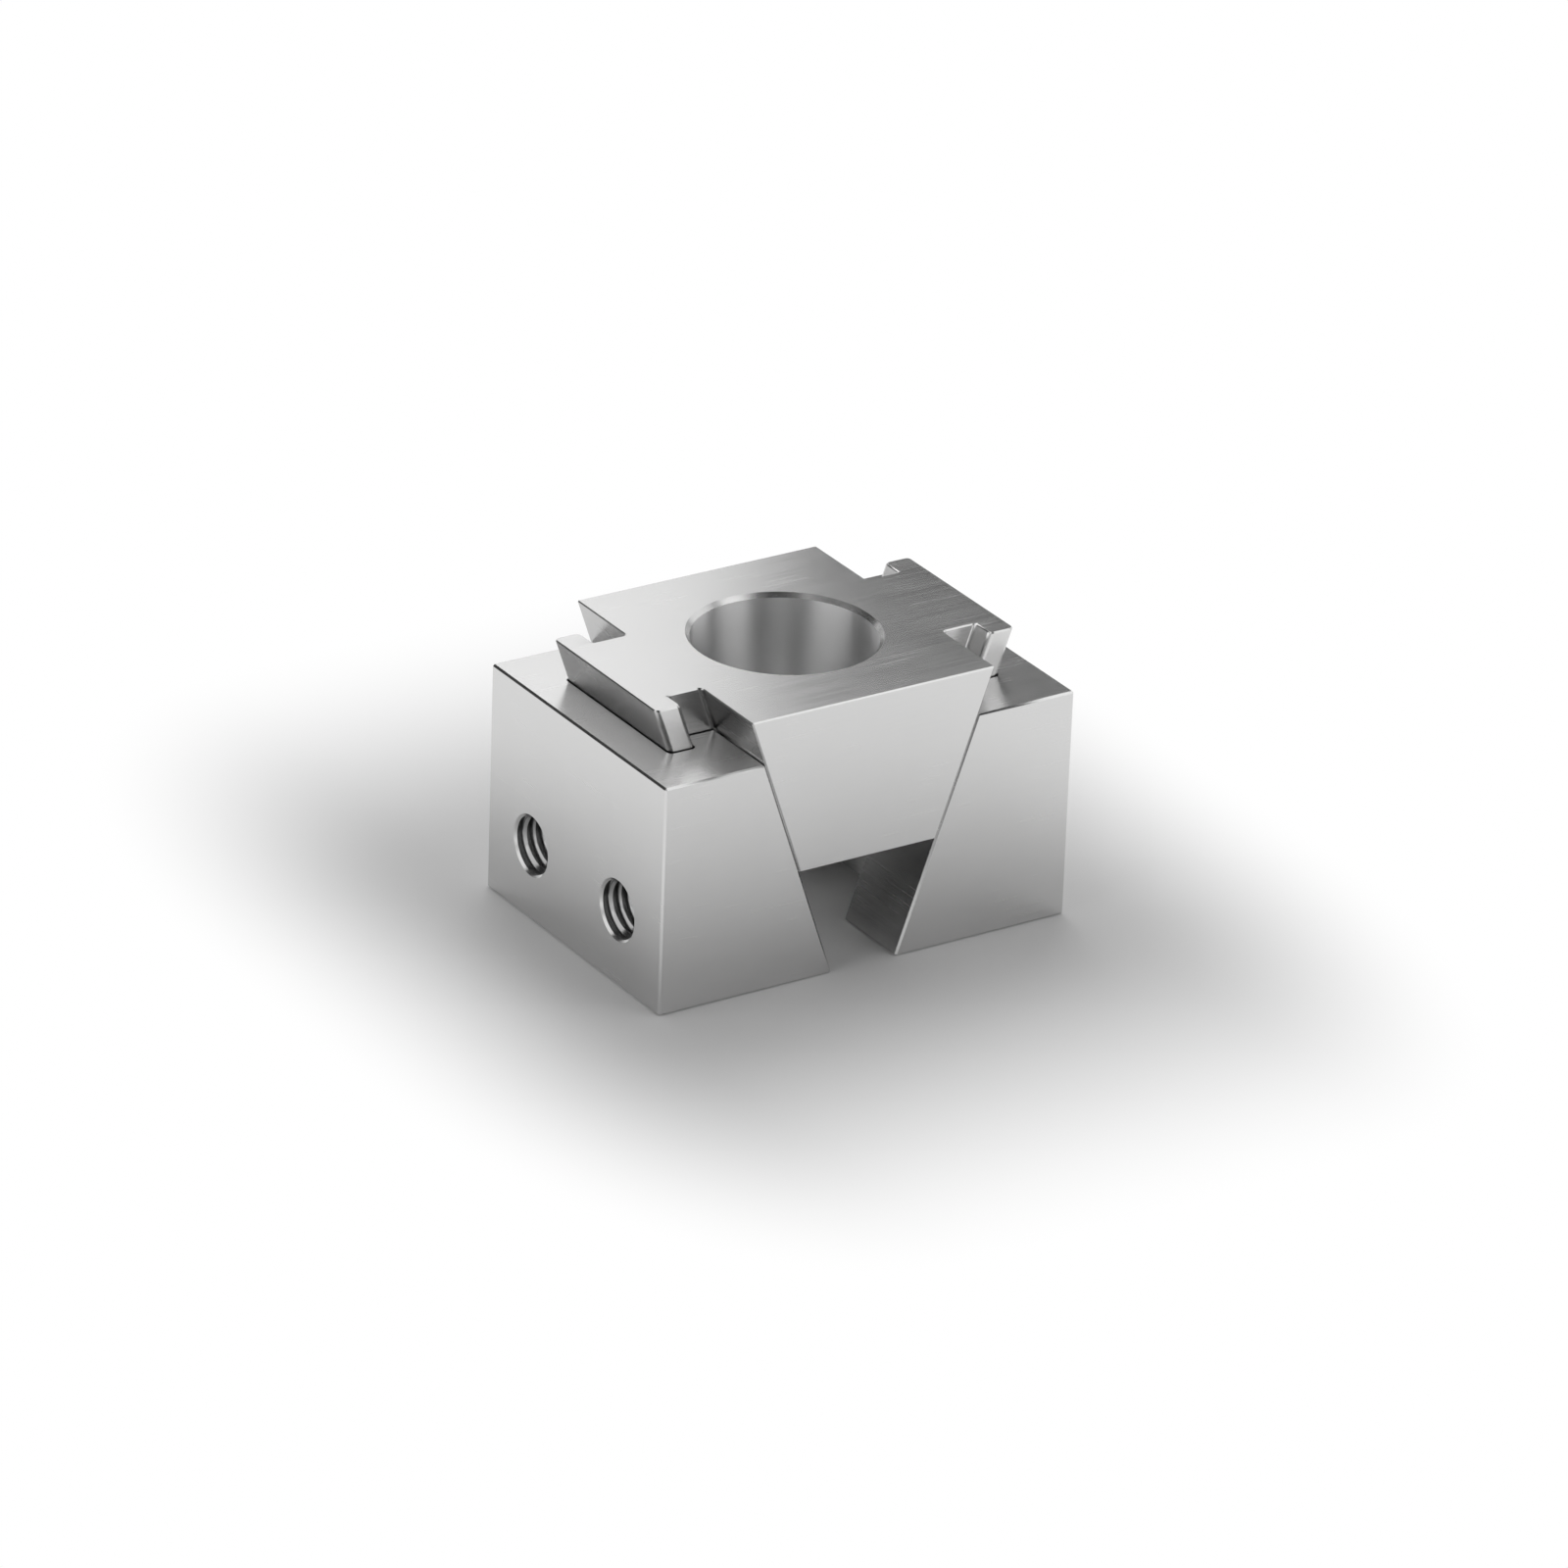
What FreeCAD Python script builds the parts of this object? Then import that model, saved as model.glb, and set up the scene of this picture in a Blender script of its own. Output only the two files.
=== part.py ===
import FreeCAD, Part
import math
import os

# Double wedge clamp: a wedge drawn down between two jaws pushes both of them outward.
# Millimetres. X is the clamping direction, Y runs along the slots' width, Z is up from
# the table. The origin is on the table, midway between the jaws.

# Body sizes
block_depth = 40.0
jaw_height = 30.0
jaw_foot_length = 24.5
foot_gap = 9.0
slope_angle = 19.5
wedge_height = 21.3
wedge_base_width = 19.3
face_film = 0.02

# T-shaped keys on the wedge, measured level across the slope
neck_width = 17.0
neck_depth = 4.7
head_width = 23.6
head_thickness = 3.6
head_corner_radius = 0.7
under_head_radius = 0.4
neck_root_radius = 0.6

# Play of the keys in the slots of the jaws
side_play = 0.25
lip_play = 0.15
back_play = 0.15

# Cap screw that draws the wedge down, with a washer under its head
screw_size = 12.0
screw_play = 1.0
screw_head_height = 12.0
washer_diameter = 20.0
washer_thickness = 2.0
washer_play = 1.5
counterbore_chamfer = 0.55
screw_hole_chamfer = 0.4

# Tapped holes for a plate on the outer face of each jaw
thread_size = 8.0
thread_pitch = 1.25
tapped_hole_spacing = 20.0
tapped_hole_height = 9.8
tapped_hole_mouth = 8.0
drill_tip_angle = 118.0
tip_wall = 1.6

# Broken edges
edge_break = 0.25

# Derived places
half_depth = block_depth / 2.0
half_gap = foot_gap / 2.0
slope = math.tan(math.radians(slope_angle))
wedge_lift = (wedge_base_width / 2.0 + face_film - half_gap) / slope
wedge_top = wedge_lift + wedge_height
key_depth = neck_depth + head_thickness
slot_depth = key_depth + back_play
counterbore_diameter = washer_diameter + 2.0 * washer_play
counterbore_depth = screw_head_height + washer_thickness
screw_hole_diameter = screw_size + 2.0 * screw_play
tap_drill_diameter = thread_size - thread_pitch

# Aids for the cuts: a corner with no radius, how far a cut runs past a face, and a flat's tolerance
sharp = 0.0
overrun = 2.0
flat_tolerance = 0.001


def rounded_profile(corners, z):
    """Level closed face through corners given as (x, y, radius), each corner rounded by its radius."""
    points = [FreeCAD.Vector(x, y, z) for x, y, radius in corners]
    count = len(points)
    starts = []
    middles = []
    ends = []
    for index in range(count):
        corner = points[index]
        radius = corners[index][2]
        before = (points[index - 1] - corner).normalize()
        after = (points[(index + 1) % count] - corner).normalize()
        half_angle = before.getAngle(after) / 2.0
        setback = radius / math.tan(half_angle)
        reach = radius / math.sin(half_angle) - radius
        bisector = (before + after).normalize()
        starts.append(corner + before * setback)
        middles.append(corner + bisector * reach)
        ends.append(corner + after * setback)
    edges = []
    for index in range(count):
        if corners[index][2] > sharp:
            arc = Part.Arc(starts[index], middles[index], ends[index])
            edges.append(arc.toShape())
        following = (index + 1) % count
        edges.append(Part.LineSegment(ends[index], starts[following]).toShape())
    return Part.Face(Part.Wire(edges))


def upright_prism(corners):
    """Solid of the block's full depth over an outline of (x, z) corners."""
    points = [FreeCAD.Vector(x, -half_depth, z) for x, z in corners]
    outline = Part.makePolygon(points + points[:1])
    return Part.Face(outline).extrude(FreeCAD.Vector(0.0, block_depth, 0.0))


def along_slope(profile, low, high):
    """Solid swept from height low to height high along the right-hand slope."""
    rise = high - low
    return profile.extrude(FreeCAD.Vector(rise * slope, 0.0, rise))


def half_turn(shape):
    """The same solid turned half round on the screw's axis, to the other side of the block."""
    turned = shape.copy()
    turned.rotate(FreeCAD.Vector(0.0, 0.0, 0.0), FreeCAD.Vector(0.0, 0.0, 1.0), 180.0)
    return turned


def mirrored_section(half, z):
    """Level section from its +Y half, given as (x, y, radius) corners, and the mirror of that half."""
    mirror = [(x, -y, radius) for x, y, radius in reversed(half)]
    return rounded_profile(half + mirror, z)


def key_profile(face_x, z):
    """Level section of the key that stands out to +X from a slanted face at face_x."""
    neck = neck_width / 2.0
    head = head_width / 2.0
    shoulder = neck + neck_root_radius + overrun
    under_head = face_x + neck_depth
    tip = face_x + key_depth
    half = [
        (face_x - overrun, shoulder, sharp),
        (face_x, shoulder, sharp),
        (face_x, neck, neck_root_radius),
        (under_head, neck, under_head_radius),
        (under_head, head, head_corner_radius),
        (tip, head, head_corner_radius),
    ]
    return mirrored_section(half, z)


def slot_profile(face_x, z):
    """Level section of the slot that takes the key, open towards -X with its mouth relieved."""
    neck = neck_width / 2.0 + side_play
    head = head_width / 2.0 + side_play
    relief = neck_root_radius
    lip = face_x + neck_depth - lip_play
    back = face_x + slot_depth
    half = [
        (face_x - overrun, neck + relief + overrun, sharp),
        (face_x + relief, neck, sharp),
        (lip, neck, under_head_radius),
        (lip, head, head_corner_radius),
        (back, head, head_corner_radius),
    ]
    return mirrored_section(half, z)


def outer_edges(solid, low, high):
    """Edges round the level faces at heights low and high and round the front and back faces."""
    chosen = []
    for face in solid.Faces:
        box = face.BoundBox
        is_level = box.ZLength < flat_tolerance
        at_end = min(abs(box.ZMin - low), abs(box.ZMin - high)) < flat_tolerance
        is_upright = box.YLength < flat_tolerance
        at_side = abs(abs(box.YMin) - half_depth) < flat_tolerance
        if (is_level and at_end) or (is_upright and at_side):
            fresh = [edge for edge in face.OuterWire.Edges if not any(edge.isSame(kept) for kept in chosen)]
            chosen.extend(fresh)
    return chosen


def round_cut(low, high, low_radius, high_radius):
    """Cut on the screw's axis between two heights, straight or flared."""
    foot = FreeCAD.Vector(0.0, 0.0, low)
    if low_radius == high_radius:
        return Part.makeCylinder(low_radius, high - low, foot)
    return Part.makeCone(low_radius, high_radius, high - low, foot)


def screw_cuts():
    """Counterbore for the screw's head, through hole for its shank, and both chamfered mouths."""
    seat = wedge_top - counterbore_depth
    bore = counterbore_diameter / 2.0
    hole = screw_hole_diameter / 2.0
    return [
        round_cut(seat, wedge_top + overrun, bore, bore),
        round_cut(wedge_top - counterbore_chamfer, wedge_top, bore, bore + counterbore_chamfer),
        round_cut(wedge_lift - overrun, seat + overrun, hole, hole),
        round_cut(wedge_lift, wedge_lift + screw_hole_chamfer, hole + screw_hole_chamfer, hole),
    ]


def make_wedge():
    """Wedge with a T-shaped key down each slanted side and a counterbored hole for the screw."""
    base_half = wedge_base_width / 2.0
    top_half = base_half + wedge_height * slope
    body = upright_prism([
        (-base_half, wedge_lift),
        (base_half, wedge_lift),
        (top_half, wedge_top),
        (-top_half, wedge_top),
    ])
    key = along_slope(key_profile(base_half, wedge_lift), wedge_lift, wedge_top)
    wedge = body.fuse([key, half_turn(key)]).removeSplitter()
    wedge = wedge.makeChamfer(edge_break, outer_edges(wedge, wedge_lift, wedge_top))
    return wedge.cut(screw_cuts())


def tapped_hole(face_x, y):
    """Cuts for one tapped hole's core, which enters a jaw at face_x and stops short of the slot."""
    inward = FreeCAD.Vector(-1.0, 0.0, 0.0)
    radius = tap_drill_diameter / 2.0
    mouth = tapped_hole_mouth / 2.0
    slot_back = half_gap + tapped_hole_height * slope + slot_depth
    tip_length = radius / math.tan(math.radians(drill_tip_angle / 2.0))
    depth = face_x - slot_back - tip_wall - tip_length
    place = FreeCAD.Vector(face_x, y, tapped_hole_height)
    return [
        Part.makeCylinder(radius, depth, place, inward),
        Part.makeCone(radius, sharp, tip_length, place + inward * depth, inward),
        Part.makeCone(mouth, radius, mouth - radius, place, inward),
    ]


def make_right_jaw():
    """Jaw with an upright outer face, a slanted inner face and a T-slot down that face."""
    outer_x = half_gap + jaw_foot_length
    block = upright_prism([
        (half_gap, sharp),
        (outer_x, sharp),
        (outer_x, jaw_height),
        (half_gap + jaw_height * slope, jaw_height),
    ])
    block = block.makeChamfer(edge_break, block.Edges)
    slot_foot = half_gap - overrun * slope
    slot = along_slope(slot_profile(slot_foot, -overrun), -overrun, jaw_height + overrun)
    cuts = [slot]
    for side in (-1.0, 1.0):
        cuts.extend(tapped_hole(outer_x, side * tapped_hole_spacing / 2.0))
    return block.cut(cuts)


right_jaw = make_right_jaw()
solids = {
    "wedge": make_wedge(),
    "left_jaw": half_turn(right_jaw),
    "right_jaw": right_jaw,
}

os.makedirs("parts", exist_ok=True)
for node, shape in solids.items():
    shape.exportStep("parts/" + node + ".step")
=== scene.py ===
"""Looks of a double wedge clamp: a ground steel wedge with T keys, drawn down between two slotted jaws."""

import logging
import math
from collections.abc import Callable, Sequence
from dataclasses import dataclass, field
from enum import Enum
from typing import Any

import bmesh
import bpy
from mathutils import Matrix, Vector


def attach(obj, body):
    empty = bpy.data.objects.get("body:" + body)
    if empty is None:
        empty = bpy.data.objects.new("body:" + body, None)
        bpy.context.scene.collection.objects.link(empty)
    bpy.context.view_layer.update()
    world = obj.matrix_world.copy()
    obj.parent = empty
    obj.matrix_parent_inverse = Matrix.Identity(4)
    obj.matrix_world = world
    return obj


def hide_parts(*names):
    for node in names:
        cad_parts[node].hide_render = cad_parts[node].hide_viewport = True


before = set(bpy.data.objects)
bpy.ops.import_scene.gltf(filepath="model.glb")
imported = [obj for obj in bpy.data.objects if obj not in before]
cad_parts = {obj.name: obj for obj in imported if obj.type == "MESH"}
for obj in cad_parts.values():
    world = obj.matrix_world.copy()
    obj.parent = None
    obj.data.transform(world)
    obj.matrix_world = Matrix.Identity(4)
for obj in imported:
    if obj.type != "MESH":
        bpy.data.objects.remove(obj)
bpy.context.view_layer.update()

log = logging.getLogger("wedge_clamp")
MM = 0.001
NEAR = 0.02 * MM
SAME_PLACE = 0.001 * MM
MID_NOISE = 0.5
EVEN = (1.0, 1.0, 1.0)
WHITE = (1.0, 1.0, 1.0, 1.0)
SMOOTH_ANGLE = math.radians(35.0)
SHARP_ANGLE = math.radians(28.0)
THREAD_FLANK = math.radians(30.0)
DRILL_POINT = math.radians(59.0)
RING_RADIUS = 0.7
CLAMP_MIDDLE = (0.0, 0.0, 0.015)

Place = tuple[float, float, float]
Colour = tuple[float, float, float]
FaceTest = Callable[[Vector, Vector], bool]
EdgeTest = Callable[[Vector, Vector], bool]


class Side(Enum):
    """Side of the clamp that a piece or a feature faces."""

    LEFT = -1.0
    RIGHT = 1.0


class Axis(Enum):
    """Direction that a round cutter runs along, from its first ring to its last."""

    UP = Vector((0.0, 0.0, 1.0))
    LEFTWARDS = Vector((-1.0, 0.0, 0.0))


# ---------------------------------------------------------------- shader maths


class Graph:
    """Node tree of one material or of the room."""

    def __init__(self, owner: bpy.types.Material | bpy.types.World) -> None:
        """Empties the owner's node tree, ready for new nodes.

        Args:
            owner: Material or room that the nodes belong to.
        """
        owner.use_nodes = True
        self.tree = owner.node_tree
        self.tree.nodes.clear()

    def node(self, kind: str, settings: dict[str, Any] | None = None,
             inputs: dict[str | int, Any] | None = None) -> bpy.types.Node:
        """Adds a node.

        Args:
            kind: Blender's type name of the node.
            settings: Properties, which are set first.
            inputs: Socket name or number to a plain value, a Value or a socket to link.

        Returns:
            The new node.
        """
        made = self.tree.nodes.new(kind)
        for name, value in (settings or {}).items():
            setattr(made, name, value)
        for name, value in (inputs or {}).items():
            source = value.socket if isinstance(value, Value) else value
            if isinstance(source, bpy.types.NodeSocket):
                self.tree.links.new(source, made.inputs[name])
            else:
                made.inputs[name].default_value = source
        return made

    def value(self, node: bpy.types.Node, output: str | int = 0) -> "Value":
        """An output of a node, ready for arithmetic."""
        return Value(self, node.outputs[output])


class Value:
    """A socket that holds a number, with arithmetic that adds Math nodes."""

    def __init__(self, graph: Graph, socket: bpy.types.NodeSocket) -> None:
        """Wraps an output socket of the graph."""
        self.graph = graph
        self.socket = socket

    def _math(self, operation: str, first: Any, second: Any = 0.0) -> "Value":
        """One Math node on two values."""
        made = self.graph.node("ShaderNodeMath", {"operation": operation}, {0: first, 1: second})
        return self.graph.value(made)

    def __add__(self, other: Any) -> "Value":
        """Sum."""
        return self._math("ADD", self, other)

    def __sub__(self, other: Any) -> "Value":
        """Difference."""
        return self._math("SUBTRACT", self, other)

    def __rsub__(self, other: Any) -> "Value":
        """Difference from a number."""
        return self._math("SUBTRACT", other, self)

    def __mul__(self, other: Any) -> "Value":
        """Product."""
        return self._math("MULTIPLY", self, other)

    __radd__ = __add__
    __rmul__ = __mul__

    def above(self, limit: float) -> "Value":
        """1 where the value is more than the limit, and 0 elsewhere."""
        return self._math("GREATER_THAN", self, limit)

    def size(self) -> "Value":
        """The value without its sign."""
        return self._math("ABSOLUTE", self)

    def at_least(self, other: Any) -> "Value":
        """The larger of two values."""
        return self._math("MAXIMUM", self, other)

    def root(self) -> "Value":
        """Square root."""
        return self._math("SQRT", self)

    def ramp(self, low: float, high: float, to_low: float = 0.0, to_high: float = 1.0) -> "Value":
        """Takes the value smoothly from one range to another, and holds it at the ends.

        Args:
            low: Start of the value's range.
            high: End of the value's range.
            to_low: Result at the start.
            to_high: Result at the end.

        Returns:
            The result.
        """
        made = self.graph.node("ShaderNodeMapRange", {"clamp": True, "interpolation_type": "SMOOTHSTEP"},
                               {0: self, 1: low, 2: high, 3: to_low, 4: to_high})
        return self.graph.value(made)


# ---------------------------------------------------------------- finishes


@dataclass(frozen=True)
class SteelFinish:
    """Bare ground steel, with fine level lines along each face and faint clouding."""

    name: str
    colour: Colour = (0.665, 0.664, 0.662)
    roughness: float = 0.25
    grain_pitch: float = 0.22 * MM
    grain_length: float = 16.0 * MM
    grain_depth: float = 0.0005 * MM
    grain_contrast: float = 0.05
    cloud_size: float = 9.0 * MM
    cloud_contrast: float = 0.05
    cloud_detail: float = 4.0
    grain_detail: float = 2.0
    darkest: float = 0.5
    lightest: float = 1.5
    spread: float = 0.0
    spread_turn: float = 0.0

    def material(self) -> bpy.types.Material:
        """Mixes the finish.

        Returns:
            The material for a piece.
        """
        made = bpy.data.materials.new(self.name)
        graph = Graph(made)
        grain = self.grain(graph)
        clouds = self.noise(graph, EVEN, self.cloud_size, self.cloud_detail)
        tone = self.tone(graph, grain, clouds)
        rough = (self.roughness + (clouds - MID_NOISE) * self.cloud_contrast
                 + (grain - MID_NOISE) * (2.0 * self.grain_contrast))
        bump = graph.node("ShaderNodeBump", None,
                          {"Strength": 1.0, "Distance": self.grain_depth, "Height": grain})
        surface = graph.node("ShaderNodeBsdfPrincipled", None, {
            "Metallic": 1.0, "Roughness": rough, "Base Color": tone, "Normal": bump.outputs["Normal"],
            "Anisotropic": self.spread, "Anisotropic Rotation": self.spread_turn})
        graph.node("ShaderNodeOutputMaterial", None, {"Surface": surface.outputs["BSDF"]})
        return made

    def tone(self, graph: Graph, grain: Value, clouds: Value) -> bpy.types.NodeSocket:
        """Steel colour, a little darker in the grain's furrows and the clouds.

        Args:
            graph: Node tree of the material.
            grain: Height of the tool lines, 0 to 1.
            clouds: Slow variation over the face, 0 to 1.

        Returns:
            The colour socket.
        """
        shade = ((grain - MID_NOISE) * self.grain_contrast
                 + (clouds - MID_NOISE) * self.cloud_contrast + 0.5)
        dark = tuple(self.darkest * part for part in self.colour)
        light = tuple(self.lightest * part for part in self.colour)
        mixed = graph.node("ShaderNodeMix", {"data_type": "RGBA", "clamp_factor": True},
                           {0: shade, 6: (*dark, 1.0), 7: (*light, 1.0)})
        return mixed.outputs[2]

    def noise(self, graph: Graph, stretch: Place, size: float, detail: float) -> Value:
        """Noise on the piece's own coordinates.

        Args:
            graph: Node tree of the material.
            stretch: How dense the pattern is along X, Y and Z.
            size: Size of the pattern where the stretch is 1.
            detail: Finer layers added to the pattern.

        Returns:
            The noise, 0 to 1.
        """
        coordinates = graph.node("ShaderNodeTexCoord")
        scale = tuple(part / size for part in stretch)
        mapping = graph.node("ShaderNodeMapping", None,
                             {"Vector": coordinates.outputs["Object"], "Scale": scale})
        made = graph.node("ShaderNodeTexNoise", None,
                          {"Vector": mapping.outputs["Vector"], "Scale": 1.0, "Detail": detail})
        return graph.value(made)

    def grain(self, graph: Graph) -> Value:
        """Draws ground lines: along Y on the faces that look along X, and along X elsewhere.

        Args:
            graph: Node tree of the material.

        Returns:
            Height of the lines, 0 to 1.
        """
        long = self.grain_pitch / self.grain_length
        coordinates = graph.node("ShaderNodeTexCoord")
        parts = graph.node("ShaderNodeSeparateXYZ", None, {0: coordinates.outputs["Normal"]})
        looks_sideways = graph.value(parts, "X").size().above(0.6)
        along_x = self.noise(graph, (long, 1.0, 1.0), self.grain_pitch, self.grain_detail)
        along_y = self.noise(graph, (1.0, long, 1.0), self.grain_pitch, self.grain_detail)
        return along_x * (1.0 - looks_sideways) + along_y * looks_sideways


@dataclass(frozen=True)
class TurnedFinish(SteelFinish):
    """Bore wall as the boring tool leaves it: fine rings round an upright hole."""

    ring_pitch: float = 0.16 * MM
    ring_stretch: float = 0.02
    ring_share: float = 0.7
    streak_pitch: float = 1.6 * MM
    streak_stretch: float = 0.05

    def grain(self, graph: Graph) -> Value:
        """Draws rings, one above the other, with faint upright streaks.

        Args:
            graph: Node tree of the material.

        Returns:
            Height of the rings, 0 to 1.
        """
        rings = self.noise(graph, (self.ring_stretch, self.ring_stretch, 1.0), self.ring_pitch, self.grain_detail)
        streaks = self.noise(graph, (1.0, 1.0, self.streak_stretch), self.streak_pitch, self.grain_detail)
        return rings * self.ring_share + streaks * (1.0 - self.ring_share)


@dataclass(frozen=True)
class ThreadFinish(SteelFinish):
    """Tapped thread, with small torn marks of the tap."""

    mark_size: float = 0.5 * MM
    mark_detail: float = 3.0

    def grain(self, graph: Graph) -> Value:
        """Torn marks, the same every way."""
        return self.noise(graph, EVEN, self.mark_size, self.mark_detail)


# ---------------------------------------------------------------- work on a mesh


class Workpiece:
    """A solid shaped in edit mode by the modelling operators, then finished by modifiers."""

    def __init__(self, name: str) -> None:
        """Takes the mesh that an operator has just added.

        Args:
            name: Name for the object and its mesh.
        """
        self.body = bpy.context.object
        self.body.name = name
        self.body.data.name = name
        bpy.ops.object.transform_apply(location=True, rotation=True, scale=True)

    @classmethod
    def block(cls, name: str, low: Place, high: Place) -> "Workpiece":
        """Saws a rectangular block.

        Args:
            name: Name for the piece.
            low: Lowest corner.
            high: Highest corner.

        Returns:
            The block.
        """
        bpy.ops.object.select_all(action="DESELECT")
        middle = [(a + b) / 2.0 for a, b in zip(low, high)]
        spans = [b - a for a, b in zip(low, high)]
        bpy.ops.mesh.primitive_cube_add(size=1.0, location=middle, scale=spans)
        return cls(name)

    @classmethod
    def turned(cls, name: str, foot: Place, axis: Axis, rings: Sequence[tuple[float, float]],
               segments: int) -> "Workpiece":
        """Turns a round solid: a disc drawn out ring by ring along an axis.

        Args:
            name: Name for the piece.
            foot: Centre of the axis from which the rings are measured.
            axis: Direction of the axis.
            rings: (distance along the axis, radius) of each ring, in order; a last radius of 0 is a point.
            segments: Corners of each ring.

        Returns:
            The turned solid.
        """
        bpy.ops.object.select_all(action="DESELECT")
        direction = axis.value
        start, radius = rings[0]
        turn = direction.to_track_quat("Z", "Y").to_euler()
        bpy.ops.mesh.primitive_circle_add(vertices=segments, radius=radius, fill_type="NGON",
                                          location=Vector(foot) + direction * start, rotation=turn)
        piece = cls(name)
        bpy.ops.object.mode_set(mode="EDIT")
        bpy.ops.mesh.select_all(action="SELECT")
        for reach, wide in rings[1:]:
            bpy.ops.mesh.extrude_region_move(TRANSFORM_OT_translate={"value": direction * (reach - start)})
            middle = Vector(foot) + direction * reach
            if wide > 0.0:
                share = wide / radius
                bpy.ops.transform.resize(value=(share, share, share), center_override=middle)
            else:
                bpy.ops.mesh.merge(type="CENTER")
            start, radius = reach, wide
        piece.close()
        return piece

    @classmethod
    def thread_ridge(cls, name: str, mouth: Place, core: float, knee: float, crest: float, pitch: float,
                     turns: int) -> "Workpiece":
        """Winds the solid that cuts a thread's groove, from a mouth that looks along +X, inwards.

        Args:
            name: Name for the piece.
            mouth: Centre of the hole's mouth, where the first turn starts.
            core: Radius inside the wall, where the groove is widest.
            knee: Radius at which the groove's steep flanks turn into its flared mouth.
            crest: Radius of the groove's bottom.
            pitch: Advance for each turn.
            turns: Number of turns.

        Returns:
            The helical cutter.
        """
        bpy.ops.object.select_all(action="DESELECT")
        deep = crest - core
        narrow = pitch / 8.0
        wide = narrow + 2.0 * deep * math.tan(THREAD_FLANK)
        flared = 0.94 * pitch
        steps = 48
        bpy.ops.mesh.primitive_plane_add(size=1.0, location=mouth, rotation=(math.pi / 2.0, 0.0, 0.0))
        body = bpy.context.object
        bpy.ops.object.transform_apply(location=False, rotation=True, scale=True)
        bpy.ops.object.mode_set(mode="EDIT")
        bpy.ops.mesh.select_all(action="SELECT")
        bpy.ops.transform.resize(value=(wide, 1.0, deep), center_override=mouth)
        bpy.ops.transform.translate(value=(0.0, 0.0, (core + crest) / 2.0))
        cls.pick_edges(body, lambda a, b: min(a.z, b.z) > core + deep / 2.0)
        top = Vector(mouth) + Vector((0.0, 0.0, crest))
        bpy.ops.transform.resize(value=(narrow / wide, 1.0, 1.0), center_override=top)
        bpy.ops.mesh.select_all(action="SELECT")
        bpy.ops.mesh.bisect(plane_co=Vector(mouth) + Vector((0.0, 0.0, knee)), plane_no=(0.0, 0.0, 1.0))
        bpy.ops.mesh.select_mode(type="FACE")
        bpy.ops.mesh.select_all(action="SELECT")
        bpy.ops.mesh.dissolve_faces()
        cls.pick_edges(body, lambda a, b: max(a.z, b.z) < core + NEAR)
        bottom = Vector(mouth) + Vector((0.0, 0.0, core))
        bpy.ops.transform.resize(value=(flared / wide, 1.0, 1.0), center_override=bottom)
        bpy.ops.object.mode_set(mode="OBJECT")
        wind = body.modifiers.new("wind", "SCREW")
        wind.axis = "X"
        wind.angle = 2.0 * math.pi
        wind.screw_offset = -pitch
        wind.iterations = turns
        wind.steps = steps
        wind.render_steps = steps
        bpy.ops.object.modifier_apply(modifier=wind.name)
        piece = cls(name)
        bpy.ops.object.mode_set(mode="EDIT")
        bpy.ops.mesh.select_all(action="SELECT")
        bpy.ops.mesh.remove_doubles(threshold=SAME_PLACE)
        bpy.ops.mesh.select_all(action="SELECT")
        bpy.ops.mesh.fill_holes(sides=6)
        piece.close()
        return piece

    @staticmethod
    def pick_edges(body: bpy.types.Object, test: EdgeTest) -> None:
        """Selects the edges whose two ends pass the test, and nothing else.

        Args:
            body: Object in edit mode.
            test: Says yes or no to an edge from its ends' places.
        """
        bpy.ops.mesh.select_mode(type="EDGE")
        bpy.ops.mesh.select_all(action="DESELECT")
        mesh = bmesh.from_edit_mesh(body.data)
        for edge in mesh.edges:
            first, second = edge.verts
            edge.select_set(test(first.co, second.co))
        bmesh.update_edit_mesh(body.data)

    @staticmethod
    def pick_faces(body: bpy.types.Object, test: FaceTest) -> None:
        """Selects the faces that pass the test, and nothing else.

        Args:
            body: Object in edit mode.
            test: Says yes or no to a face from its middle and normal.
        """
        bpy.ops.mesh.select_mode(type="FACE")
        bpy.ops.mesh.select_all(action="DESELECT")
        mesh = bmesh.from_edit_mesh(body.data)
        for face in mesh.faces:
            face.select_set(test(face.calc_center_median(), face.normal))
        bmesh.update_edit_mesh(body.data)

    @staticmethod
    def single_out(body: bpy.types.Object) -> None:
        """Selects one object and nothing else.

        Args:
            body: Object that the next operator works on.
        """
        bpy.ops.object.select_all(action="DESELECT")
        bpy.context.view_layer.objects.active = body
        body.select_set(True)

    def open(self) -> None:
        """Enters edit mode on this piece alone."""
        self.single_out(self.body)
        bpy.ops.object.mode_set(mode="EDIT")

    def close(self) -> None:
        """Makes every face point outwards and leaves edit mode."""
        bpy.ops.mesh.select_mode(type="FACE")
        bpy.ops.mesh.select_all(action="SELECT")
        bpy.ops.mesh.normals_make_consistent(inside=False)
        bpy.ops.mesh.select_all(action="DESELECT")
        bpy.ops.object.mode_set(mode="OBJECT")

    def split(self, place: Place, normal: Place) -> None:
        """Scores the whole piece along a plane, in edit mode.

        Args:
            place: A place on the plane.
            normal: Direction that the plane faces.
        """
        bpy.ops.mesh.select_mode(type="FACE")
        bpy.ops.mesh.select_all(action="SELECT")
        bpy.ops.mesh.bisect(plane_co=place, plane_no=normal)

    def draw_out(self, test: FaceTest, move: Place) -> None:
        """Extrudes the faces that pass the test, in edit mode.

        Args:
            test: Says yes or no to a face from its middle and normal.
            move: How far the faces are drawn out.
        """
        self.pick_faces(self.body, test)
        bpy.ops.mesh.extrude_region_move(TRANSFORM_OT_translate={"value": move})

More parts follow.
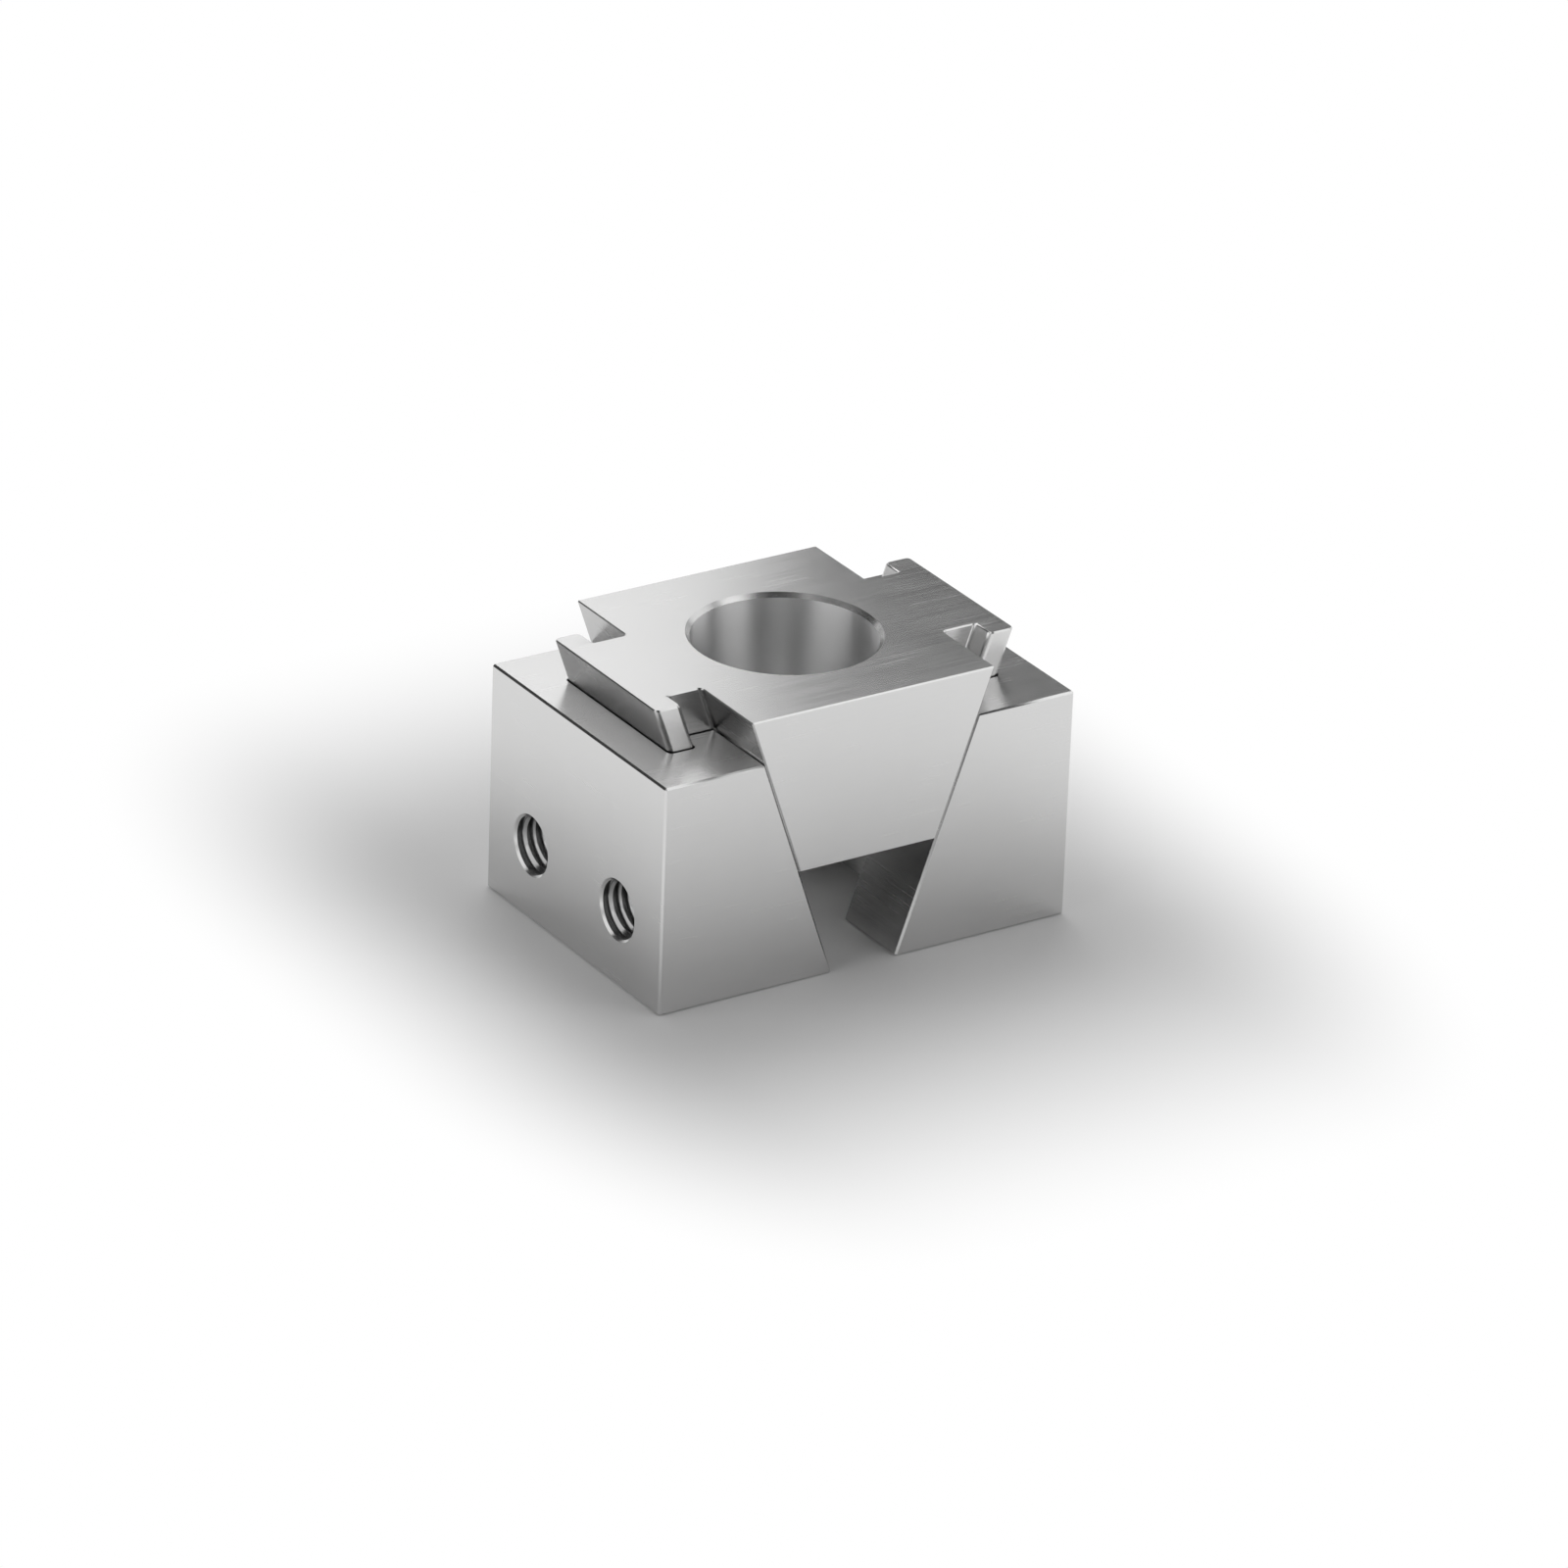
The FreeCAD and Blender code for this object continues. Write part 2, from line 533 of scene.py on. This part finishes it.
    def shift_edges(self, test: EdgeTest, move: Place) -> None:
        """Moves the edges that pass the test, in edit mode.

        Args:
            test: Says yes or no to an edge from its ends' places.
            move: How far the edges go.
        """
        self.pick_edges(self.body, test)
        bpy.ops.transform.translate(value=move)

    def round_edges(self, test: EdgeTest, radius: float, segments: int) -> None:
        """Rounds the edges that pass the test, in edit mode.

        Args:
            test: Says yes or no to an edge from its ends' places.
            radius: Radius of the round.
            segments: Flats that make up the round.
        """
        self.pick_edges(self.body, test)
        bpy.ops.mesh.bevel(offset=radius, segments=segments, profile=0.5, affect="EDGES")

    def apply(self, kind: str, settings: dict[str, Any]) -> None:
        """Adds a modifier and applies it.

        Args:
            kind: Blender's type name of the modifier.
            settings: The modifier's properties.
        """
        self.single_out(self.body)
        modifier = self.body.modifiers.new(kind.lower(), kind)
        for name, value in settings.items():
            setattr(modifier, name, value)
        bpy.ops.object.modifier_apply(modifier=modifier.name)

    def break_edges(self, width: float) -> None:
        """Chamfers every sharp edge by a width."""
        self.apply("BEVEL", {"limit_method": "ANGLE", "angle_limit": SHARP_ANGLE, "width": width,
                             "segments": 1, "use_clamp_overlap": True})

    def cut(self, tool: "Workpiece") -> None:
        """Takes a tool's solid away from this piece, and puts the tool away."""
        self.apply("BOOLEAN", {"operation": "DIFFERENCE", "solver": "EXACT", "object": tool.body})
        tool.discard()

    def discard(self) -> None:
        """Removes the piece and its mesh."""
        mesh = self.body.data
        bpy.data.objects.remove(self.body)
        bpy.data.meshes.remove(mesh)

    def copy(self, name: str, turn: Matrix) -> "Workpiece":
        """Copies the piece with a mesh of its own, turned or moved by a matrix.

        Args:
            name: Name for the copy.
            turn: Where the copy goes.

        Returns:
            The copy.
        """
        twin = self.body.copy()
        twin.data = self.body.data.copy()
        bpy.context.scene.collection.objects.link(twin)
        self.single_out(twin)
        twin.matrix_world = turn
        return Workpiece(name)

    def smooth(self) -> None:
        """Shades small rounds smooth while the flats stay flat."""
        self.single_out(self.body)
        bpy.ops.object.shade_smooth_by_angle(angle=SMOOTH_ANGLE)
        self.apply("WEIGHTED_NORMAL", {"keep_sharp": True, "weight": 100})

    def dress(self, finishes: Sequence[bpy.types.Material], tests: Sequence[FaceTest]) -> None:
        """Gives the piece its finishes.

        Args:
            finishes: Materials; the first covers the whole piece.
            tests: For each later material, which faces it covers.
        """
        self.body.data.materials.clear()
        for finish in finishes:
            self.body.data.materials.append(finish)
        self.open()
        for number, test in enumerate(tests, start=1):
            self.pick_faces(self.body, test)
            self.body.active_material_index = number
            bpy.ops.object.material_slot_assign()
        bpy.ops.mesh.select_all(action="DESELECT")
        bpy.ops.object.mode_set(mode="OBJECT")

    def stand_for(self, node: str, slot: str) -> None:
        """Puts the piece in the place of a CAD node, on that node's body.

        Args:
            node: Name of the CAD node.
            slot: Name of its material slot; not used.
        """
        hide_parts(node)
        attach(self.body, node)
        log.info("%s: %d faces", self.body.name, len(self.body.data.polygons))


# ---------------------------------------------------------------- the clamp


@dataclass(frozen=True)
class ClampSizes:
    """Sizes that the wedge and its jaws share."""

    depth: float = 40.0 * MM
    half_gap: float = 4.5 * MM
    slope: float = math.tan(math.radians(19.5))
    neck_half: float = 8.5 * MM
    neck_depth: float = 4.7 * MM
    head_half: float = 11.8 * MM
    head_thickness: float = 3.6 * MM
    head_radius: float = 0.7 * MM
    under_head_radius: float = 0.4 * MM
    root_radius: float = 0.6 * MM
    edge_break: float = 0.25 * MM

    @property
    def front(self) -> float:
        """Place of the front faces along Y."""
        return -self.depth / 2.0

    def t_section(self, piece: Workpiece, side: Side, start: float, neck: float, neck_half: float,
                  head: float, head_half: float) -> None:
        """Draws a T-shaped key out of a straight-sided block, in edit mode.

        Args:
            piece: Block already scored at the neck's sides.
            side: Side of the block that the key stands out from.
            start: Distance of the block's face from the middle.
            neck: How far the neck stands out.
            neck_half: Half of the neck's width.
            head: Thickness of the head.
            head_half: Half of the head's width.
        """
        way = side.value

        def on_face(middle: Vector, normal: Vector) -> bool:
            """Whether a face looks to the key's side and lies in the neck's strip."""
            return normal.x * way > 0.9 and abs(middle.y) < neck_half and middle.x * way > start - NEAR

        piece.draw_out(on_face, (way * neck, 0.0, 0.0))
        piece.draw_out(on_face, (way * head, 0.0, 0.0))
        for hand in (-1.0, 1.0):
            piece.draw_out(lambda middle, normal: normal.y * hand > 0.9 and middle.x * way > start + neck,
                           (0.0, hand * (head_half - neck_half), 0.0))


@dataclass
class Wedge:
    """Wedge with a T key down each slanted side and a counterbored hole for the screw."""

    sizes: ClampSizes
    base_half: float = 9.65 * MM
    low: float = 14.6 * MM
    high: float = 35.9 * MM
    bore: float = 11.5 * MM
    bore_chamfer: float = 0.55 * MM
    seat: float = 21.9 * MM
    hole: float = 7.0 * MM
    hole_chamfer: float = 0.4 * MM
    wall_margin: float = 0.05 * MM
    wall_lean: float = 0.3

    def build(self, steel: SteelFinish, turned: TurnedFinish) -> None:
        """Models the wedge and dresses it.

        Args:
            steel: Finish of the ground faces.
            turned: Finish of the bore.
        """
        wedge = self.body()
        wedge.break_edges(self.sizes.edge_break)
        wedge.cut(self.screw_tool())
        wedge.smooth()
        wedge.dress([steel.material(), turned.material()], [self.in_bore])
        wedge.stand_for("wedge", "wedge_steel")

    def in_bore(self, middle: Vector, normal: Vector) -> bool:
        """Whether a face belongs to the bore.

        Args:
            middle: Middle of the face.
            normal: Direction that the face looks in.

        Returns:
            True for the walls of the counterbore and the hole, and for the floor between them.
        """
        within = math.hypot(middle.x, middle.y) < self.bore + self.wall_margin
        is_wall = abs(normal.z) < self.wall_lean
        is_floor = self.low + NEAR < middle.z < self.seat + NEAR
        return within and (is_wall or is_floor)

    def body(self) -> Workpiece:
        """Models the wedge before its bore: a straight block with keys, then slanted.

        Returns:
            The wedge without its bore.
        """
        sizes = self.sizes
        front = sizes.front
        wedge = Workpiece.block("clamp_wedge", (-self.base_half, front, self.low),
                                (self.base_half, -front, self.high))
        wedge.open()
        for hand in (-1.0, 1.0):
            wedge.split((0.0, hand * sizes.neck_half, 0.0), (0.0, 1.0, 0.0))
        for side in Side:
            sizes.t_section(wedge, side, self.base_half, sizes.neck_depth, sizes.neck_half,
                            sizes.head_thickness, sizes.head_half)
        self.round_keys(wedge)
        rise = (self.high - self.low) * sizes.slope
        for side in Side:
            way = side.value
            wedge.shift_edges(lambda a, b: min(a.z, b.z) > self.high - NEAR and min(a.x * way, b.x * way) > 0.0,
                              (way * rise, 0.0, 0.0))
        wedge.close()
        return wedge

    def round_keys(self, wedge: Workpiece) -> None:
        """Rounds the long edges of both keys while they still stand upright, in edit mode.

        Args:
            wedge: The straight block with its keys.
        """
        sizes = self.sizes
        head = self.base_half + sizes.neck_depth

        def upright(a: Vector, b: Vector, half: float) -> bool:
            """Whether an edge runs upright at a distance from the middle plane."""
            return abs(a.z - b.z) > MM and abs(abs(a.y) - half) < NEAR

        wedge.round_edges(lambda a, b: upright(a, b, sizes.head_half), sizes.head_radius, 5)
        wedge.round_edges(lambda a, b: upright(a, b, sizes.neck_half) and abs(abs(a.x) - head) < NEAR,
                          sizes.under_head_radius, 4)
        wedge.round_edges(lambda a, b: upright(a, b, sizes.neck_half) and abs(abs(a.x) - self.base_half) < NEAR,
                          sizes.root_radius, 5)

    def screw_tool(self) -> Workpiece:
        """Turns the stepped tool that bores the wedge.

        Returns:
            The tool, from below the wedge to above it.
        """
        over = 2.0 * MM
        return Workpiece.turned("screw_tool", (0.0, 0.0, 0.0), Axis.UP, [
            (self.low - over, self.hole + self.hole_chamfer + over),
            (self.low + self.hole_chamfer, self.hole),
            (self.seat, self.hole),
            (self.seat, self.bore),
            (self.high - self.bore_chamfer, self.bore),
            (self.high + over, self.bore + self.bore_chamfer + over),
        ], segments=160)


@dataclass
class Jaw:
    """Jaw with an upright outer face, a T slot down its slanted inner face and two tapped holes."""

    sizes: ClampSizes
    height: float = 30.0 * MM
    outer: float = 29.0 * MM
    side_play: float = 0.25 * MM
    lip_play: float = 0.15 * MM
    back_play: float = 0.15 * MM
    hole_places: tuple[float, float] = (-10.0 * MM, 10.0 * MM)
    hole_height: float = 9.8 * MM
    hole_depth: float = 8.95 * MM
    mouth: float = 4.0 * MM
    rim: float = 3.7 * MM
    rim_depth: float = 1.15 * MM
    core: float = 3.375 * MM
    knee: float = 3.65 * MM
    crest: float = 4.0 * MM
    pitch: float = 1.25 * MM
    turns: int = 7
    lead_in: float = 0.66 * MM
    inset: float = 0.03 * MM
    beyond_hole: float = 3.0 * MM

    def build(self, steel: SteelFinish, thread: ThreadFinish) -> None:
        """Models the right jaw, and the left one as its copy turned half round.

        Args:
            steel: Finish of the ground faces.
            thread: Finish inside the tapped holes.
        """
        jaw = self.body()
        jaw.break_edges(self.sizes.edge_break)
        jaw.cut(self.slot_tool())
        for y in self.hole_places:
            jaw.cut(self.drill(y))
            start = (self.outer + self.lead_in, y, self.hole_height)
            jaw.cut(Workpiece.thread_ridge("tap", start, self.core - self.inset, self.knee, self.crest,
                                           self.pitch, self.turns))
        jaw.smooth()
        twin = jaw.copy("left_clamp_jaw", Matrix.Rotation(math.pi, 4, "Z"))
        materials = [steel.material(), thread.material()]
        for piece, side in ((jaw, Side.RIGHT), (twin, Side.LEFT)):
            piece.dress(materials, [self.hole_test(side)])
        jaw.stand_for("right_jaw", "jaw_steel")
        twin.stand_for("left_jaw", "jaw_steel")

    def hole_test(self, side: Side) -> FaceTest:
        """Makes the test for the faces inside the tapped holes.

        Args:
            side: Side of the clamp that the jaw is on.

        Returns:
            Says yes or no to a face from its middle and normal.
        """
        least = self.outer - self.hole_depth - self.beyond_hole
        most = self.outer - (self.mouth - self.rim)

        def inside(middle: Vector, normal: Vector) -> bool:
            """Whether a face lies in a tapped hole, below its countersink."""
            if not least < middle.x * side.value < most:
                return False
            return any(math.hypot(middle.y - y, middle.z - self.hole_height) < self.crest + NEAR
                       for y in self.hole_places)

        return inside

    def body(self) -> Workpiece:
        """Models the jaw's block, with its inner face slanted.

        Returns:
            The block.
        """
        sizes = self.sizes
        jaw = Workpiece.block("right_clamp_jaw", (sizes.half_gap, sizes.front, 0.0),
                              (self.outer, -sizes.front, self.height))
        jaw.open()
        jaw.shift_edges(lambda a, b: min(a.z, b.z) > self.height - NEAR and max(a.x, b.x) < self.outer - NEAR,
                        (self.height * sizes.slope, 0.0, 0.0))
        jaw.close()
        return jaw

    def slot_tool(self) -> Workpiece:
        """Models the slanted T-shaped tool that cuts the slot.

        Returns:
            The tool, which runs past the jaw's top and underside.
        """
        sizes = self.sizes
        over = 2.0 * MM
        start = sizes.half_gap
        neck_half = sizes.neck_half + self.side_play
        head_half = sizes.head_half + self.side_play
        neck = sizes.neck_depth - self.lip_play
        head = sizes.head_thickness + self.lip_play + self.back_play
        tool = Workpiece.block("slot_tool", (start - over, -neck_half, -over), (start, neck_half, self.height + over))
        tool.open()
        sizes.t_section(tool, Side.RIGHT, start, neck, neck_half, head, head_half)
        tool.round_edges(lambda a, b: abs(a.z - b.z) > MM and abs(abs(a.y) - head_half) < NEAR,
                         sizes.head_radius, 5)
        tool.round_edges(lambda a, b: abs(a.z - b.z) > MM and abs(abs(a.y) - neck_half) < NEAR
                         and abs(a.x - start - neck) < NEAR, sizes.under_head_radius, 4)
        tool.shift_edges(lambda a, b: min(a.z, b.z) > self.height, ((self.height + over) * sizes.slope, 0.0, 0.0))
        tool.shift_edges(lambda a, b: max(a.z, b.z) < 0.0, (-over * sizes.slope, 0.0, 0.0))
        tool.close()
        return tool

    def drill(self, y: float) -> Workpiece:
        """Turns the pointed drill, with its countersink.

        Args:
            y: Place of the hole along Y.

        Returns:
            The drill, in place in the right jaw.
        """
        over = 1.0 * MM
        tip = self.core / math.tan(DRILL_POINT)
        sink = self.mouth - self.rim
        return Workpiece.turned("drill", (self.outer, y, self.hole_height), Axis.LEFTWARDS, [
            (-over, self.mouth + over),
            (sink, self.rim),
            (self.rim_depth, self.rim),
            (self.rim_depth + self.rim - self.core, self.core),
            (self.hole_depth, self.core),
            (self.hole_depth + tip, 0.0),
        ], segments=64)


# ---------------------------------------------------------------- studio


@dataclass(frozen=True)
class Softbox:
    """Rectangular area lamp, measured in metres."""

    name: str
    place: Place
    aim: Place
    width: float
    height: float
    radiance: float

    @classmethod
    def around(cls, name: str, azimuth: float, elevation: float, width: float, height: float,
               radiance: float) -> "Softbox":
        """Stands a lamp on a ring round the clamp, aimed at it.

        Args:
            name: Name for the lamp.
            azimuth: Degrees from straight behind the clamp, towards the right.
            elevation: Degrees above the floor.
            width: Width of the lamp's face.
            height: Height of the lamp's face.
            radiance: Brightness of the lamp's face.

        Returns:
            The lamp.
        """
        turn = math.radians(azimuth)
        rise = math.radians(elevation)
        way = Vector((math.sin(turn) * math.cos(rise), math.cos(turn) * math.cos(rise), math.sin(rise)))
        return cls(name, tuple(way * RING_RADIUS), CLAMP_MIDDLE, width, height, radiance)

    def hang(self) -> None:
        """Hangs the lamp at its place, facing its aim."""
        data = bpy.data.lights.new(self.name, "AREA")
        data.shape = "RECTANGLE"
        data.size = self.width
        data.size_y = self.height
        data.energy = self.radiance * math.pi * self.width * self.height
        lamp = bpy.data.objects.new(self.name, data)
        bpy.context.scene.collection.objects.link(lamp)
        lamp.location = self.place
        lamp.rotation_euler = (Vector(self.aim) - Vector(self.place)).to_track_quat("-Z", "Y").to_euler()


@dataclass
class Studio:
    """Pale floor, soft lamps and the camera, with lengths in metres and angles in degrees."""

    # Grey of the floor near the clamp; with the fade to white from clear_from to clear_to it paints shade round the
    # clamp.
    floor_colour: Colour = (0.73, 0.73, 0.73)
    floor_half: float = 4.0
    clear_from: float = 4.0 * MM
    clear_to: float = 64.0 * MM
    clear_sooner: tuple[float, float] = (1.6, 0.9)
    footprint: tuple[float, float] = (29.0 * MM, 20.0 * MM)
    backdrop_top: float = 0.26
    backdrop_edge: float = 0.10
    backdrop_level: float = 0.62
    room_level: float = 0.02
    azimuth: float = -33.245
    elevation: float = 25.480
    roll: float = 2.151
    distance: float = 1187.5 * MM
    focal_pixels: float = 9680.2
    frame_pixels: float = 1600.0
    sensor: float = 36.0
    nearest: float = 10.0 * MM
    target: Place = (18.32 * MM, 26.88 * MM, 0.25 * MM)
    lamps: list[Softbox] = field(default_factory=lambda: [
        Softbox.around("left_softbox", -88.0, 26.0, 0.66, 0.58, 1.05),
        Softbox.around("right_softbox", 90.0, 23.0, 0.45, 0.45, 1.0),
        Softbox.around("front_right_softbox", 145.0, 18.0, 0.54, 0.40, 1.05),
        Softbox.around("front_high_softbox", 142.0, 49.0, 0.54, 0.26, 1.3),
        Softbox.around("front_left_softbox", -145.0, 24.0, 0.60, 0.50, 0.2),
        Softbox.around("top_softbox", 0.0, 73.0, 0.70, 0.70, 1.0),
        Softbox.around("back_softbox", 30.0, 52.0, 0.45, 0.45, 1.15),
        Softbox("back_strip", (0.05, 0.22, 0.155), (0.05, 0.0, 0.155), 0.18, 0.12, 1.05),
    ])

    def build(self) -> None:
        """Lays the floor, hangs the lamps and sets up the camera."""
        self.lay_floor()
        self.fill_room()
        for lamp in self.lamps:
            lamp.hang()
        self.place_camera()
        bpy.context.scene.view_settings.view_transform = "Standard"

    def lay_floor(self) -> None:
        """Lays a pale grey floor that fades to plain white away from the clamp, leaving painted shade round the
        clamp.
        """
        bpy.ops.object.select_all(action="DESELECT")
        bpy.ops.mesh.primitive_plane_add(size=2.0 * self.floor_half, location=(0.0, 0.0, 0.0))
        floor = bpy.context.object
        floor.name = "studio_floor"
        material = bpy.data.materials.new("pale_floor")
        graph = Graph(material)
        matt = graph.node("ShaderNodeBsdfDiffuse", None, {"Color": (*self.floor_colour, 1.0)})
        white = graph.node("ShaderNodeEmission", None, {"Color": WHITE, "Strength": 1.0})
        mixed = graph.node("ShaderNodeMixShader", None, {
            0: self.white_past_painted_halo(graph), 1: matt.outputs["BSDF"], 2: white.outputs["Emission"]})
        graph.node("ShaderNodeOutputMaterial", None, {"Surface": mixed.outputs["Shader"]})
        floor.data.materials.append(material)

    def white_past_painted_halo(self, graph: Graph) -> Value:
        """Share of plain white in the floor: none under the clamp, all of it far from it; the grey floor left near
        the clamp is painted shade, laid over the clamp's real soft shadow.

        Args:
            graph: Node tree of the floor's material.

        Returns:
            The share, which lights nothing, because only seen and mirrored rays get it.
        """
        coordinates = graph.node("ShaderNodeTexCoord")
        parts = graph.node("ShaderNodeSeparateXYZ", None, {0: coordinates.outputs["Object"]})
        beyond = [(graph.value(parts, axis).size() - half).at_least(0.0) * sooner
                  for axis, half, sooner in zip("XY", self.footprint, self.clear_sooner)]
        distance = (beyond[0] * beyond[0] + beyond[1] * beyond[1]).root()
        path = graph.node("ShaderNodeLightPath")
        seen = [graph.value(path, name) for name in ("Is Camera Ray", "Is Glossy Ray", "Is Transmission Ray")]
        # Painted shade: the floor stays grey near the clamp and turns white with distance from it.
        return distance.ramp(self.clear_from, self.clear_to) * seen[0].at_least(seen[1]).at_least(seen[2])

    def fill_room(self) -> None:
        """Fills the room: a white backdrop low down, all the way round, and a dim ceiling."""
        world = bpy.data.worlds.new("soft_room")
        bpy.context.scene.world = world
        graph = Graph(world)
        coordinates = graph.node("ShaderNodeTexCoord")
        parts = graph.node("ShaderNodeSeparateXYZ", None, {0: coordinates.outputs["Generated"]})
        level = graph.value(parts, "Z").ramp(self.backdrop_edge, self.backdrop_top,
                                             self.backdrop_level, self.room_level)
        background = graph.node("ShaderNodeBackground", None, {"Color": WHITE, "Strength": level})
        graph.node("ShaderNodeOutputWorld", None, {"Surface": background.outputs["Background"]})

    def place_camera(self) -> None:
        """Sets the camera where the photograph was taken from."""
        turn = math.radians(self.azimuth)
        rise = math.radians(self.elevation)
        back = Vector((math.sin(turn) * math.cos(rise), -math.cos(turn) * math.cos(rise), math.sin(rise)))
        right = (-back).cross(Vector((0.0, 0.0, 1.0))).normalized()
        up = right.cross(-back)
        tilt = math.radians(self.roll)
        right, up = (right * math.cos(tilt) + up * math.sin(tilt), up * math.cos(tilt) - right * math.sin(tilt))
        data = bpy.data.cameras.new("photo_camera")
        data.sensor_width = self.sensor
        data.lens = self.focal_pixels * self.sensor / self.frame_pixels
        data.clip_start = self.nearest
        camera = bpy.data.objects.new("photo_camera", data)
        bpy.context.scene.collection.objects.link(camera)
        place = Vector(self.target) + back * self.distance
        camera.matrix_world = Matrix.Translation(place) @ Matrix((right, up, back)).transposed().to_4x4()
        bpy.context.scene.camera = camera


def main() -> None:
    """Builds the studio, the wedge and the jaws, in order."""
    logging.basicConfig(level=logging.INFO, format="%(name)s: %(message)s")
    Studio().build()
    sizes = ClampSizes()
    # The bore's colour (0.9), lighter than the ground steel, is painted light in the deep bore.
    Wedge(sizes).build(SteelFinish("ground_wedge_steel"),
                       TurnedFinish("bored_steel", colour=(0.9, 0.9, 0.9), roughness=0.45, grain_contrast=0.02,
                                    spread=1.0, spread_turn=0.25))
    # The tapped holes' dark colour (0.42), darker than the ground steel, is painted shade down in the holes.
    Jaw(sizes).build(SteelFinish("ground_jaw_steel"),
                     ThreadFinish("tapped_steel", colour=(0.42, 0.42, 0.42), roughness=0.22))


if __name__ == "__main__":
    main()
